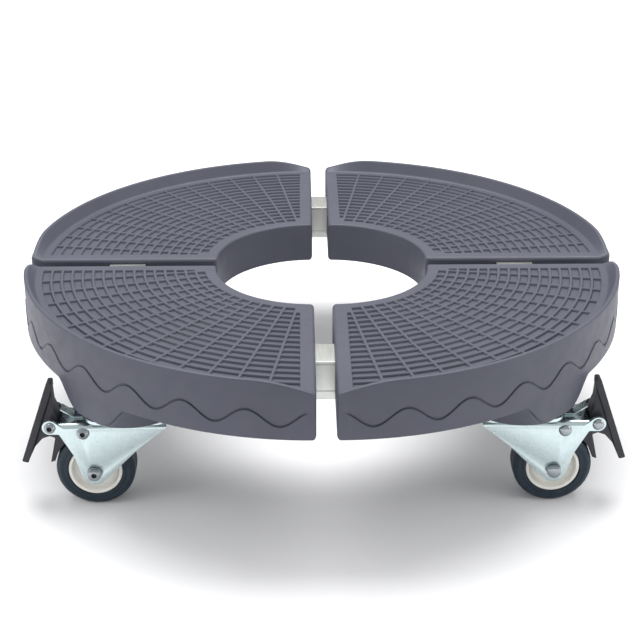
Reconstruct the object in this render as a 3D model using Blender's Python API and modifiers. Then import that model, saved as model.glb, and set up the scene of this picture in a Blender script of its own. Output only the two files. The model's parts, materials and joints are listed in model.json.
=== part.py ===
"""Adjustable wheeled parasol base.

Four quarter-ring plastic trays are joined by four steel square tubes that slide in moulded sockets.
Each tray stands on a braked swivel caster. Metres, +Z up, floor at z = 0, origin under the centre hole.
"""

import math

import bmesh
import bpy
from mathutils import Matrix, Vector

# ---------------------------------------------------------------- driving dimensions
MM = 0.001
FIT = 0.3 * MM  # clearance between two pieces that meet

OUTER_RADIUS = 195 * MM  # tray's outer wall, from the tray's own centre of curvature
INNER_RADIUS = 66.5 * MM  # wall round the centre hole
GAP_X = 11.7 * MM  # between left and right trays, closed for use
GAP_Y = 10 * MM  # between front and rear trays
DECK_Z = 114 * MM
DECK_THICKNESS = 3 * MM
WALL = 2.5 * MM
WALL_BOTTOM_Z = 85.6 * MM
LIP_HEIGHT = 8.7 * MM
LIP_END_HEIGHT = 1.2 * MM
LIP_TOP_WIDTH = 2.6 * MM
LIP_FOOT_WIDTH = 8.5 * MM
LIP_TAPER_DEG = 11
ARC_STEPS = 24

TUBE_SIZE = 25 * MM
TUBE_WALL = 1.2 * MM
TUBE_CORNER = 1.5 * MM
TUBE_TOP_Z = DECK_Z - DECK_THICKNESS - FIT
FRONT_TUBE_Y = 137 * MM
REAR_TUBE_Y = 130 * MM
SIDE_TUBE_X = 134 * MM
FIXED_REACH = 66 * MM  # how far a tube reaches into the tray that holds it
SLIDE_REACH = 62 * MM  # and into the tray that slides on it
SOCKET_LENGTH = 68 * MM
SOCKET_WALL = 2.4 * MM
STRAP_START = 14 * MM
STRAP_LENGTH = 14 * MM
STRAP_THICKNESS = 2.2 * MM
SCREW_RADIUS = 2.5 * MM
SCREW_HEAD_RADIUS = 4.6 * MM
SCREW_HEAD = 3 * MM
KNOB_RADIUS = 8 * MM
KNOB_HEIGHT = 8 * MM

CASTER_HEIGHT = 69 * MM  # floor to the pad the caster is screwed to
SWIVEL_OFFSET = 114.6 * MM  # swivel axis from the tray's centre of curvature, along X and along Y
PAD_RADIUS = 43.2 * MM
PAD_RIB = 4 * MM
PAD_CLEAR = 11 * MM  # from the swivel axis to the ribs, so that the kingpin's head fits
PLATE_SIDE = 52 * MM
PLATE_CORNER_REACH = 33 * MM  # the plate's corners are rounded off at this distance from the axis
PLATE_HOLE_INSET = 6.5 * MM
PLATE_HOLE_RADIUS = 2.6 * MM
PLATE_THICKNESS = 2 * MM
KINGPIN_RADIUS = 5 * MM
RACE_RADIUS = 18 * MM
RIVET_HEAD_RADIUS = 8 * MM
RIVET_HEAD = 2.2 * MM
TRAIL = 24 * MM
WHEEL_RADIUS = 25 * MM
WHEEL_WIDTH = 19 * MM
HUB_RADIUS = 17 * MM
AXLE_RADIUS = 3 * MM
FORK_WIDTH = 26 * MM
SHEET = 2 * MM
FORK_TOP_Z = 59.8 * MM
PEDAL_WIDTH = 20 * MM
PEDAL_PIVOT = (-49.6 * MM, 57.8 * MM)
STOP_PIN = (-29.4 * MM, 53.7 * MM)
PIN_RADIUS = 2.3 * MM
NUT_RADIUS = 5.6 * MM
NUT_HEIGHT = 4.6 * MM
TYRE_SEGMENTS = 28
HUB_SEGMENTS = 18
PAD_SEGMENTS = 32
RACE_SEGMENTS = 20
PIN_SEGMENTS = 12
KNOB_SEGMENTS = 16
HOLE_SEGMENTS = 12

TRAY_SIGNS = {
    "front_left": (-1, -1),
    "front_right": (1, -1),
    "rear_left": (-1, 1),
    "rear_right": (1, 1),
}

# ---------------------------------------------------------------- scene and materials
for old in list(bpy.data.objects):
    bpy.data.objects.remove(old)

parts = bpy.data.collections.new("parasol_base")
cutters = bpy.data.collections.new("cutters")
bpy.context.scene.collection.children.link(parts)
bpy.context.scene.collection.children.link(cutters)


def material(name, color, roughness, metallic=0.0):
    made = bpy.data.materials.new(name)
    made.use_nodes = True
    shader = made.node_tree.nodes["Principled BSDF"]
    shader.inputs["Base Color"].default_value = (*color, 1)
    shader.inputs["Roughness"].default_value = roughness
    shader.inputs["Metallic"].default_value = metallic
    made.diffuse_color = (*color, 1)
    return made


TRAY_PLASTIC = material("tray_plastic", (0.13, 0.13, 0.155), 0.5)
TUBE_STEEL = material("tube_steel", (0.62, 0.63, 0.61), 0.35, 1)
ZINC_STEEL = material("zinc_steel", (0.66, 0.72, 0.74), 0.3, 1)
RIVET_STEEL = material("rivet_steel", (0.5, 0.53, 0.55), 0.3, 1)
TYRE_RUBBER = material("tyre_rubber", (0.03, 0.042, 0.055), 0.6)
HUB_PLASTIC = material("hub_plastic", (0.62, 0.6, 0.55), 0.45)
PEDAL_PLASTIC = material("pedal_plastic", (0.075, 0.065, 0.075), 0.5)


# ---------------------------------------------------------------- modelling helpers
def mesh_from(bm, name):
    """Closes the bmesh into a mesh whose faces point outwards."""
    bmesh.ops.remove_doubles(bm, verts=bm.verts, dist=1e-6)
    bmesh.ops.recalc_face_normals(bm, faces=bm.faces)
    mesh = bpy.data.meshes.new(name)
    bm.to_mesh(mesh)
    bm.free()
    return mesh


def evaluated_mesh(obj, name):
    """The object's mesh with its modifiers applied, welded where a curve's caps are loose."""
    bpy.context.view_layer.update()
    graph = bpy.context.evaluated_depsgraph_get()
    mesh = bpy.data.meshes.new_from_object(obj.evaluated_get(graph))
    mesh.transform(obj.matrix_world)
    mesh.name = name
    bm = bmesh.new()
    bm.from_mesh(mesh)
    bmesh.ops.remove_doubles(bm, verts=bm.verts, dist=1e-6)
    bm.to_mesh(mesh)
    bm.free()
    return mesh


def place(mesh, name, collection):
    obj = bpy.data.objects.new(name, mesh)
    collection.objects.link(obj)
    if collection is cutters:
        obj.hide_render = True
        obj.display_type = "WIRE"
    return obj


def combine(mesh, steps, name):
    """Applies Boolean steps, a list of (operation, mesh), to a mesh and returns the result."""
    base = place(mesh, name + "_base", cutters)
    tools = []
    for operation, tool_mesh in steps:
        tool = place(tool_mesh, name + "_tool", cutters)
        tools.append(tool)
        cut = base.modifiers.new(operation.lower(), "BOOLEAN")
        cut.operation = operation
        cut.solver = "EXACT"
        cut.object = tool
    result = evaluated_mesh(base, name)
    for obj in [base] + tools:
        bpy.data.objects.remove(obj)
    return result


def box(low, high):
    """A box between two corners."""
    bm = bmesh.new()
    size = Vector(high) - Vector(low)
    middle = (Vector(high) + Vector(low)) / 2
    bmesh.ops.create_cube(bm, size=1, matrix=Matrix.Translation(middle) @ Matrix.Diagonal((*size, 1)))
    return mesh_from(bm, "box")


def cylinder(radius, low, high, segments=32, spot=(0, 0)):
    """An upright cylinder at spot, from height low to height high."""
    bm = bmesh.new()
    move = Matrix.Translation((*spot, (low + high) / 2))
    bmesh.ops.create_cone(
        bm, cap_ends=True, segments=segments, radius1=radius, radius2=radius, depth=high - low, matrix=move
    )
    return mesh_from(bm, "cylinder")


def along_y(mesh, x, z):
    """Turns an upright mesh to lie along Y, through (x, z)."""
    mesh.transform(Matrix.Translation((x, 0, z)) @ Matrix.Rotation(math.radians(90), 4, "X"))
    return mesh


def turned(profile, segments, closed, phase=0.0):
    """A profile of (radius, height) points turned about Z with a Screw modifier."""
    mesh = bpy.data.meshes.new("profile")
    points = [(r, 0, z) for r, z in profile]
    edges = [(i, i + 1) for i in range(len(points) - 1)]
    if closed:
        edges.append((len(points) - 1, 0))
    mesh.from_pydata(points, edges, [])
    obj = place(mesh, "profile", cutters)
    obj.rotation_euler.z = phase
    screw = obj.modifiers.new("turn", "SCREW")
    screw.axis = "Z"
    screw.steps = segments
    screw.render_steps = segments
    screw.use_merge_vertices = True
    screw.merge_threshold = 1e-6
    made = evaluated_mesh(obj, "turned")
    bpy.data.objects.remove(obj)
    bm = bmesh.new()
    bm.from_mesh(made)
    bpy.data.meshes.remove(made)
    return mesh_from(bm, "turned")


def flat_outline(points, thickness):
    """An outline in the XZ plane, extruded along Y and centred on it."""
    curve = bpy.data.curves.new("outline", "CURVE")
    curve.dimensions = "2D"
    curve.fill_mode = "BOTH"
    curve.extrude = thickness / 2
    spline = curve.splines.new("POLY")
    spline.points.add(len(points) - 1)
    for point, (x, z) in zip(spline.points, points):
        point.co = (x, z, 0, 1)
    spline.use_cyclic_u = True
    obj = place(curve, "outline", cutters)
    obj.rotation_euler.x = math.radians(90)
    made = evaluated_mesh(obj, "outline")
    bpy.data.objects.remove(obj)
    bm = bmesh.new()
    bm.from_mesh(made)
    bpy.data.meshes.remove(made)
    return mesh_from(bm, "outline")


def arc(centre, radius, start, end, steps):
    """Points on a round stretch of an outline; angles in degrees from +X, turning towards +Z."""
    angles = [math.radians(start + (end - start) * i / steps) for i in range(steps + 1)]
    return [(centre[0] + radius * math.cos(a), centre[1] + radius * math.sin(a)) for a in angles]


def swept(section_at, angles, centre):
    """A closed solid lofted round a vertical axis; section_at(angle) gives (radius, height) points."""
    bm = bmesh.new()
    rings = []
    for angle in angles:
        a = math.radians(angle)
        points = [(centre[0] + r * math.cos(a), centre[1] + r * math.sin(a), z) for r, z in section_at(angle)]
        rings.append([bm.verts.new(point) for point in points])
    count = len(rings[0])
    for near, far in zip(rings, rings[1:]):
        for i in range(count):
            j = (i + 1) % count
            bm.faces.new((near[i], near[j], far[j], far[i]))
    bm.faces.new(rings[0])
    bm.faces.new(rings[-1])
    return mesh_from(bm, "swept")


def smooth(obj, angle=30):
    obj.data.shade_smooth()
    obj.data.set_sharp_from_angle(angle=math.radians(angle))


def part(mesh, name, finish, parent=None):
    """A finished sub-part in the object's collection."""
    obj = place(mesh, name, parts)
    if not mesh.materials:
        mesh.materials.append(finish)
    obj.parent = parent
    smooth(obj)
    return obj


def anchor(name, location, turn=0.0, parent=None):
    empty = bpy.data.objects.new(name, None)
    parts.objects.link(empty)
    empty.location = location
    empty.rotation_euler.z = turn
    empty.parent = parent
    return empty


# ---------------------------------------------------------------- trays
CENTRE = (GAP_X / 2, GAP_Y / 2)
SWIVEL_SPOT = (CENTRE[0] + SWIVEL_OFFSET, CENTRE[1] + SWIVEL_OFFSET)
DECK_UNDER_Z = DECK_Z - DECK_THICKNESS
TUBE_BOTTOM_Z = TUBE_TOP_Z - TUBE_SIZE
BELOW_Z = 60 * MM


def lip_height(angle):
    """Full height over most of the rim, running down to the deck at both ends."""
    from_end = min(angle, 90 - angle) / LIP_TAPER_DEG
    rise = math.sin(min(from_end, 1) * math.pi / 2)
    return LIP_END_HEIGHT + (LIP_HEIGHT - LIP_END_HEIGHT) * rise


def tray_section(angle):
    top = DECK_Z + lip_height(angle)
    return [
        (INNER_RADIUS, WALL_BOTTOM_Z),
        (OUTER_RADIUS, WALL_BOTTOM_Z),
        (OUTER_RADIUS, top),
        (OUTER_RADIUS - LIP_TOP_WIDTH, top),
        (OUTER_RADIUS - LIP_FOOT_WIDTH, DECK_Z),
        (INNER_RADIUS, DECK_Z),
    ]


def ring_block(inner, outer, low, high):
    """A quarter ring with plain sides."""
    angles = [90 * i / ARC_STEPS for i in range(ARC_STEPS + 1)]
    return swept(lambda angle: [(inner, low), (outer, low), (outer, high), (inner, high)], angles, CENTRE)


def socket_steps(tube_spot, along_x):
    """Side walls and the strap below the tube, as boxes that join the tray."""
    start = CENTRE[0] if along_x else CENTRE[1]
    half = TUBE_SIZE / 2 + FIT
    strap_low = TUBE_BOTTOM_Z - FIT - STRAP_THICKNESS

    def span(run, side, low, high):
        near = (run[0], side[0], low) if along_x else (side[0], run[0], low)
        far = (run[1], side[1], high) if along_x else (side[1], run[1], high)
        return box(near, far)

    whole = (start + WALL / 2, start + SOCKET_LENGTH)
    strap = (start + STRAP_START, start + STRAP_START + STRAP_LENGTH)
    steps = []
    for side in (-1, 1):
        edges = sorted((tube_spot + side * half, tube_spot + side * (half + SOCKET_WALL)))
        steps.append(("UNION", span(whole, edges, WALL_BOTTOM_Z + 0.4 * MM, DECK_Z - DECK_THICKNESS / 2)))
    across = (tube_spot - half - SOCKET_WALL, tube_spot + half + SOCKET_WALL)
    steps.append(("UNION", span(strap, across, strap_low, DECK_UNDER_Z - 5 * MM)))
    inside = (tube_spot - half, tube_spot + half)
    bore = (start - 5 * MM, start + SOCKET_LENGTH + 2 * MM)
    steps.append(("DIFFERENCE", span(bore, inside, TUBE_BOTTOM_Z - FIT, DECK_UNDER_Z)))
    mouth = (start - 5 * MM, start + WALL + MM)
    steps.append(("DIFFERENCE", span(mouth, inside, BELOW_Z, DECK_UNDER_Z)))
    middle = (strap[0] + strap[1]) / 2
    spot = (middle, tube_spot) if along_x else (tube_spot, middle)
    hole = cylinder(SCREW_RADIUS + FIT, BELOW_Z, TUBE_BOTTOM_Z + MM, HOLE_SEGMENTS, spot)
    steps.append(("DIFFERENCE", hole))
    return steps


def tray_mesh(x_tube_y, name):
    """One tray in the +X +Y quarter; x_tube_y is how far out the tube along X runs."""
    angles = [90 * i / ARC_STEPS for i in range(ARC_STEPS + 1)]
    body = swept(tray_section, angles, CENTRE)
    reach = OUTER_RADIUS - WALL
    pad = combine(
        cylinder(PAD_RADIUS, CASTER_HEIGHT, DECK_Z - MM, PAD_SEGMENTS, SWIVEL_SPOT),
        [("INTERSECT", ring_block(INNER_RADIUS, OUTER_RADIUS, BELOW_Z, DECK_Z))],
        "pad",
    )
    inside = (CENTRE[0] + WALL, CENTRE[1] + WALL, BELOW_Z - MM)
    outside = (OUTER_RADIUS * 2, OUTER_RADIUS * 2, DECK_Z + MM)
    hollow = combine(
        ring_block(INNER_RADIUS + WALL, reach, BELOW_Z, DECK_UNDER_Z),
        [
            ("INTERSECT", box(inside, outside)),
            ("DIFFERENCE", cylinder(PAD_RADIUS, BELOW_Z - MM, DECK_Z, PAD_SEGMENTS, SWIVEL_SPOT)),
        ],
        "hollow",
    )
    pad_hollow = combine(
        cylinder(PAD_RADIUS - WALL, BELOW_Z, DECK_UNDER_Z, PAD_SEGMENTS, SWIVEL_SPOT),
        [("INTERSECT", ring_block(INNER_RADIUS, reach, BELOW_Z - MM, DECK_Z))] + pad_rib_steps(),
        "pad_hollow",
    )
    steps = [("UNION", pad), ("DIFFERENCE", hollow), ("DIFFERENCE", pad_hollow)]
    steps += socket_steps(x_tube_y, True)
    steps += socket_steps(SIDE_TUBE_X, False)
    return combine(body, steps, name)


def pad_rib_steps():
    """Leaves crossed ribs in the pad's hollow; they carry the caster plate."""
    x, y = SWIVEL_SPOT
    half = PAD_RIB / 2
    far = PAD_RADIUS + 5 * MM
    spans = []
    for side in (-1, 1):
        near_x, far_x = sorted((x + side * PAD_CLEAR, x + side * far))
        near_y, far_y = sorted((y + side * PAD_CLEAR, y + side * far))
        spans.append(box((near_x, y - half, CASTER_HEIGHT), (far_x, y + half, DECK_Z)))
        spans.append(box((x - half, near_y, CASTER_HEIGHT), (x + half, far_y, DECK_Z)))
    return [("DIFFERENCE", mesh) for mesh in spans]


def mirrored(mesh, signs, name):
    copy = mesh.copy()
    copy.name = name
    copy.transform(Matrix.Diagonal((signs[0], signs[1], 1, 1)))
    if signs[0] * signs[1] < 0:
        copy.flip_normals()
    return copy


def build_trays():
    front = tray_mesh(FRONT_TUBE_Y, "tray_front")
    rear = tray_mesh(REAR_TUBE_Y, "tray_rear")
    for place_name, signs in TRAY_SIGNS.items():
        source = front if signs[1] < 0 else rear
        part(mirrored(source, signs, "tray_" + place_name), "tray_" + place_name, TRAY_PLASTIC)
    bpy.data.meshes.remove(front)
    bpy.data.meshes.remove(rear)


# ---------------------------------------------------------------- tubes and their screws
def square_tube(length, hole_at):
    """A square tube along X from 0 to length, with a screw hole in its lower wall at hole_at."""
    half = TUBE_SIZE / 2
    bm = bmesh.new()
    shape = Matrix.Translation((length / 2, 0, 0)) @ Matrix.Diagonal((length, TUBE_SIZE, TUBE_SIZE, 1))
    bmesh.ops.create_cube(bm, size=1, matrix=shape)
    long_edges = [e for e in bm.edges if abs(e.verts[0].co.x - e.verts[1].co.x) > length / 2]
    bmesh.ops.bevel(bm, geom=long_edges, offset=TUBE_CORNER, segments=2, profile=0.5, affect="EDGES")
    inner = half - TUBE_WALL
    bore = box((-MM, -inner, -inner), (length + MM, inner, inner))
    hole = cylinder(SCREW_RADIUS + FIT, -half - MM, -half + 2 * TUBE_WALL, HOLE_SEGMENTS, (hole_at, 0))
    return combine(mesh_from(bm, "tube"), [("DIFFERENCE", bore), ("DIFFERENCE", hole)], "tube")


def tube_screw():
    """Self-tapping screw that holds a tube in its tray, head down."""
    head_high = TUBE_BOTTOM_Z - 2 * FIT - STRAP_THICKNESS
    head_low = head_high - SCREW_HEAD
    tip = TUBE_BOTTOM_Z + 5 * MM
    profile = [(0, head_low), (SCREW_HEAD_RADIUS - 0.6 * MM, head_low)]
    profile += [(SCREW_HEAD_RADIUS, head_high), (SCREW_RADIUS, head_high)]
    profile += [(SCREW_RADIUS, tip - MM), (0, tip)]
    return turned(profile, PIN_SEGMENTS, False)


def lock_screw():
    """Knurled screw under the sliding socket that clamps the tube."""
    knob_high = TUBE_BOTTOM_Z - 2 * FIT - STRAP_THICKNESS
    knob_low = knob_high - KNOB_HEIGHT
    tip = TUBE_BOTTOM_Z - FIT
    edge = 1.5 * MM
    profile = [(0, knob_low), (KNOB_RADIUS - edge, knob_low)]
    profile += [(KNOB_RADIUS, knob_low + edge), (KNOB_RADIUS, knob_high)]
    profile += [(SCREW_RADIUS, knob_high), (SCREW_RADIUS, tip), (0, tip)]
    return turned(profile, KNOB_SEGMENTS, False)


def build_links():
    """Each link is one tube; it is screwed into one tray and slides in the next."""
    strap_middle = STRAP_START + STRAP_LENGTH / 2
    tube_z = (TUBE_TOP_Z + TUBE_BOTTOM_Z) / 2
    screw = tube_screw()
    lock = lock_screw()
    links = {
        "front": (GAP_X, (0, -FRONT_TUBE_Y), 0),
        "rear": (GAP_X, (0, REAR_TUBE_Y), 0),
        "left": (GAP_Y, (-SIDE_TUBE_X, 0), 90),
        "right": (GAP_Y, (SIDE_TUBE_X, 0), 90),
    }
    for name, (gap, spot, turn) in links.items():
        middle = anchor("link_" + name, (*spot, 0), math.radians(turn))
        fixed_end = -gap / 2 - FIXED_REACH
        length = FIXED_REACH + gap + SLIDE_REACH
        mesh = square_tube(length, -gap / 2 - strap_middle - fixed_end)
        tube = part(mesh, "tube_" + name, TUBE_STEEL, middle)
        tube.location = (fixed_end, 0, tube_z)
        holder = part(screw, "tube_screw_" + name, RIVET_STEEL, middle)
        holder.location.x = -gap / 2 - strap_middle
        clamp = part(lock, "lock_screw_" + name, PEDAL_PLASTIC, middle)
        clamp.location.x = gap / 2 + strap_middle


# ---------------------------------------------------------------- casters
def plate_mesh():
    """Mounting plate with the upper half of the swivel race pressed into it."""
    high = CASTER_HEIGHT - FIT
    low = high - PLATE_THICKNESS
    half = PLATE_SIDE / 2
    race_low = FORK_TOP_Z + 2.4 * MM
    steps = [("UNION", cylinder(RACE_RADIUS, race_low, low + MM, RACE_SEGMENTS))]
    steps.append(("DIFFERENCE", cylinder(KINGPIN_RADIUS + FIT, race_low - MM, high + MM, HOLE_SEGMENTS)))
    steps.insert(0, ("INTERSECT", cylinder(PLATE_CORNER_REACH, low - MM, high + MM, PAD_SEGMENTS)))
    screw_spot = half - PLATE_HOLE_INSET
    for x in (-screw_spot, screw_spot):
        for y in (-screw_spot, screw_spot):
            steps.append(("DIFFERENCE", cylinder(PLATE_HOLE_RADIUS, low - MM, high + MM, 8, (x, y))))
    return combine(box((-half, -half, low), (half, half, high)), steps, "caster_plate")


def kingpin_mesh():
    """Rivet that holds the fork to the plate and lets it swivel."""
    low = FORK_TOP_Z - SHEET - FIT
    high = CASTER_HEIGHT
    wide = RIVET_HEAD_RADIUS
    profile = [(0, low - RIVET_HEAD), (wide - MM, low - RIVET_HEAD), (wide, low), (KINGPIN_RADIUS, low)]
    profile += [(KINGPIN_RADIUS, high), (wide, high), (wide - MM, high + RIVET_HEAD), (0, high + RIVET_HEAD)]
    return turned(profile, PIN_SEGMENTS, False)


def fork_outline():
    """Side of the fork: it wraps the axle, rises to the pedal's ear and sweeps up to the crown."""
    axle = (-TRAIL, WHEEL_RADIUS)
    ear = PEDAL_PIVOT
    outline = arc(axle, 8 * MM, 205, 320, 6)
    outline += [(4.6 * MM, 42.7 * MM), (22.5 * MM, 57.6 * MM), (22.5 * MM, FORK_TOP_Z)]
    outline += [(-44.5 * MM, FORK_TOP_Z)]
    outline += arc(ear, 4.8 * MM, 60, 260, 7)
    outline += [(-45 * MM, 54.5 * MM), (-36 * MM, 38 * MM)]
    return outline


def fork_mesh():
    """Two side plates and the crown, bent from one sheet, with the lower half of the swivel race."""
    half = FORK_WIDTH / 2
    side = flat_outline(fork_outline(), SHEET)
    near = side.copy()
    near.transform(Matrix.Translation((0, SHEET / 2 - half, 0)))
    side.transform(Matrix.Translation((0, half - SHEET / 2, 0)))
    crown = box((-44 * MM, -half + MM, FORK_TOP_Z - SHEET), (22 * MM, half - MM, FORK_TOP_Z - 0.01 * MM))
    steps = [("UNION", near), ("UNION", side)]
    race = cylinder(RACE_RADIUS - 5.5 * MM, FORK_TOP_Z - MM, FORK_TOP_Z + 2.1 * MM, RACE_SEGMENTS)
    steps.append(("UNION", race))
    pivot_hole = cylinder(KINGPIN_RADIUS + FIT, BELOW_Z - 10 * MM, BELOW_Z + 10 * MM, HOLE_SEGMENTS)
    steps.append(("DIFFERENCE", pivot_hole))
    bores = [((-TRAIL, WHEEL_RADIUS), AXLE_RADIUS), (PEDAL_PIVOT, PIN_RADIUS), (STOP_PIN, PIN_RADIUS)]
    for spot, radius in bores:
        bore = cylinder(radius + FIT, -FORK_WIDTH, FORK_WIDTH, HOLE_SEGMENTS)
        steps.append(("DIFFERENCE", along_y(bore, *spot)))
    return combine(crown, steps, "fork")


def cross_pin(shaft, head, thickness, far_head):
    """A pin through both side plates, headed at one end or at both, centred on Y."""
    edge = FORK_WIDTH / 2 + FIT
    chamfer = 0.6 * MM
    low = -edge - thickness
    profile = [(0, low), (head - chamfer, low), (head, -edge), (shaft, -edge)]
    if far_head:
        profile += [(shaft, edge), (head, edge), (head - chamfer, -low), (0, -low)]
    else:
        profile += [(shaft, edge + 6 * MM), (0, edge + 6 * MM)]
    return turned(profile, PIN_SEGMENTS, False)


def nut_mesh():
    """Hexagon nut on the far end of the axle bolt."""
    low = FORK_WIDTH / 2 + FIT
    nut = cylinder(NUT_RADIUS, low, low + NUT_HEIGHT, 6)
    bore = cylinder(AXLE_RADIUS + FIT, 0, FORK_WIDTH, HOLE_SEGMENTS)
    return combine(nut, [("DIFFERENCE", bore)], "axle_nut")


def tyre_mesh():
    """Solid tyre; a flat facet, not a corner, is lowest so that it stands on the floor."""
    half = WHEEL_WIDTH / 2
    tread = WHEEL_RADIUS / math.cos(math.pi / TYRE_SEGMENTS)
    inner = HUB_RADIUS + FIT
    side = [(tread, 6 * MM), (tread - 0.6 * MM, 8.3 * MM), (tread - 2.5 * MM, half), (inner, half)]
    profile = side + [(r, -z) for r, z in reversed(side)]
    return turned(profile, TYRE_SEGMENTS, True, math.pi / TYRE_SEGMENTS)


def hub_mesh():
    """Spool-shaped wheel centre with a boss round the axle."""
    side = [(HUB_RADIUS, 9 * MM), (14.8 * MM, 9 * MM), (14.2 * MM, 4 * MM), (6.5 * MM, 4 * MM)]
    side += [(6.5 * MM, 10.2 * MM), (AXLE_RADIUS + FIT, 10.2 * MM)]
    profile = side + [(r, -z) for r, z in reversed(side)]
    return turned(profile, HUB_SEGMENTS, True, math.pi / HUB_SEGMENTS)


def pedal_mesh():
    """Brake pedal: a foot blade outside the fork and a prong that rests against the tread."""
    wheel = (-TRAIL, WHEEL_RADIUS)
    clear = WHEEL_RADIUS + 0.7 * MM
    outline = [(-51.2 * MM, 84.3 * MM), (-48.2 * MM, 84.3 * MM), (-48.4 * MM, 70 * MM)]
    outline += [(-45.4 * MM, 60 * MM), (-45 * MM, 54 * MM)]
    outline += arc(wheel, clear, 128, 166, 6)
    outline += [(-51.8 * MM, 30.3 * MM)]
    outline += [(-47.8 * MM, 47.6 * MM), (-51 * MM, 49 * MM), (-55.7 * MM, 47.4 * MM)]
    outline += [(-60.6 * MM, 41.8 * MM), (-65.4 * MM, 31.3 * MM), (-69.4 * MM, 32.4 * MM)]
    bore = along_y(cylinder(PIN_RADIUS + FIT, -FORK_WIDTH, FORK_WIDTH, HOLE_SEGMENTS), *PEDAL_PIVOT)
    return combine(flat_outline(outline, PEDAL_WIDTH), [("DIFFERENCE", bore)], "pedal")


def spring_mesh():
    """Leaf spring on the crown that steadies the pedal."""
    outline = [(-30, 60.1), (-36.3, 60.1), (-44.2, 65.4), (-43.8, 66.1), (-36, 60.9), (-30, 60.9)]
    return flat_outline([(x * MM, z * MM) for x, z in outline], 8 * MM)


def build_casters():
    """Every caster trails outwards along X. Its axle's bolt head faces the front or the rear edge."""
    meshes = {
        "caster_plate": plate_mesh(),
        "kingpin": kingpin_mesh(),
        "fork": fork_mesh(),
        "brake_spring": spring_mesh(),
        "axle_bolt": cross_pin(AXLE_RADIUS, 4.5 * MM, 3 * MM, False),
        "axle_nut": nut_mesh(),
        "pedal_pin": cross_pin(PIN_RADIUS, 3.6 * MM, 1.6 * MM, True),
        "stop_pin": cross_pin(PIN_RADIUS, 3.8 * MM, 1.6 * MM, True),
        "tyre": tyre_mesh(),
        "hub": hub_mesh(),
        "pedal": pedal_mesh(),
    }
    for name in ("axle_bolt", "axle_nut", "pedal_pin", "stop_pin", "tyre", "hub"):
        meshes[name].transform(Matrix.Rotation(math.radians(-90), 4, "X"))
    for place_name, (sx, sy) in TRAY_SIGNS.items():
        spot = (sx * SWIVEL_SPOT[0], sy * SWIVEL_SPOT[1], 0)
        trail_turn = 0 if sx < 0 else math.pi
        swivel = anchor("swivel_" + place_name, spot, trail_turn)
        for name in ("caster_plate", "kingpin"):
            part(meshes[name], name + "_" + place_name, ZINC_STEEL, swivel)
        for name in ("fork", "brake_spring"):
            part(meshes[name], name + "_" + place_name, ZINC_STEEL, swivel)
        axle = anchor("axle_" + place_name, (-TRAIL, 0, WHEEL_RADIUS), 0, swivel)
        head_turn = 0 if sx * sy > 0 else math.pi
        for name in ("axle_bolt", "axle_nut"):
            part(meshes[name], name + "_" + place_name, RIVET_STEEL, axle).rotation_euler.z = head_turn
        part(meshes["tyre"], "tyre_" + place_name, TYRE_RUBBER, axle)
        part(meshes["hub"], "hub_" + place_name, HUB_PLASTIC, axle)
        part(meshes["pedal"], "pedal_" + place_name, PEDAL_PLASTIC, swivel)
        for name, (x, z) in (("pedal_pin", PEDAL_PIVOT), ("stop_pin", STOP_PIN)):
            part(meshes[name], name + "_" + place_name, RIVET_STEEL, swivel).location = (x, 0, z)


build_trays()
build_links()
build_casters()
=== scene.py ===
"""Looks of the adjustable wheeled parasol base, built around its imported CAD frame."""

import json
import math

import bmesh
import bpy
from mathutils import Matrix, Vector

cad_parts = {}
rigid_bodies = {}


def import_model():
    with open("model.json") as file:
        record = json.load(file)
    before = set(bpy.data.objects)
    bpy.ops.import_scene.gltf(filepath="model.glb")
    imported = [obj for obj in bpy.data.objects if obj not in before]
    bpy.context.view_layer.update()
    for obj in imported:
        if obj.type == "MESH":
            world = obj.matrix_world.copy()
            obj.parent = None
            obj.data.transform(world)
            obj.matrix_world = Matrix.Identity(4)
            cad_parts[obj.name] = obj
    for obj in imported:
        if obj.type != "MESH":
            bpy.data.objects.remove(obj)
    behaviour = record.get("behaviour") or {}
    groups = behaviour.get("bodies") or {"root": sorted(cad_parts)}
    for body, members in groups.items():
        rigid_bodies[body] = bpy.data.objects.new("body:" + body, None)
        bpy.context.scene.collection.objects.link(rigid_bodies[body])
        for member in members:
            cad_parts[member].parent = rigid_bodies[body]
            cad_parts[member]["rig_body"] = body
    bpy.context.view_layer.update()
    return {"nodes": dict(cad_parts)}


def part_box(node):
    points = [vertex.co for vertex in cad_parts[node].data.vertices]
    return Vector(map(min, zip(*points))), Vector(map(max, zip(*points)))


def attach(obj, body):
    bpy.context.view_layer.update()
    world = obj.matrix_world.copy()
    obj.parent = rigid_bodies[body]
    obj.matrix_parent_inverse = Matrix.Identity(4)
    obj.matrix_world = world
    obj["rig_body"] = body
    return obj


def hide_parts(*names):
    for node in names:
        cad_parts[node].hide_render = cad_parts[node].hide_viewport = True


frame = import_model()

# ------------------------------------------------------------ sizes, from the frame where it has them
MM = 0.001
FIT = 0.3 * MM  # clearance between two pieces that meet
FINE = 96  # sides of a large round shape
SHIFT = 0.15 * MM  # keeps the faces of Boolean tools apart where they would coincide
CORNERS = {
    "front_left": (-1, -1),
    "front_right": (1, -1),
    "rear_left": (-1, 1),
    "rear_right": (1, 1),
}

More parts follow.
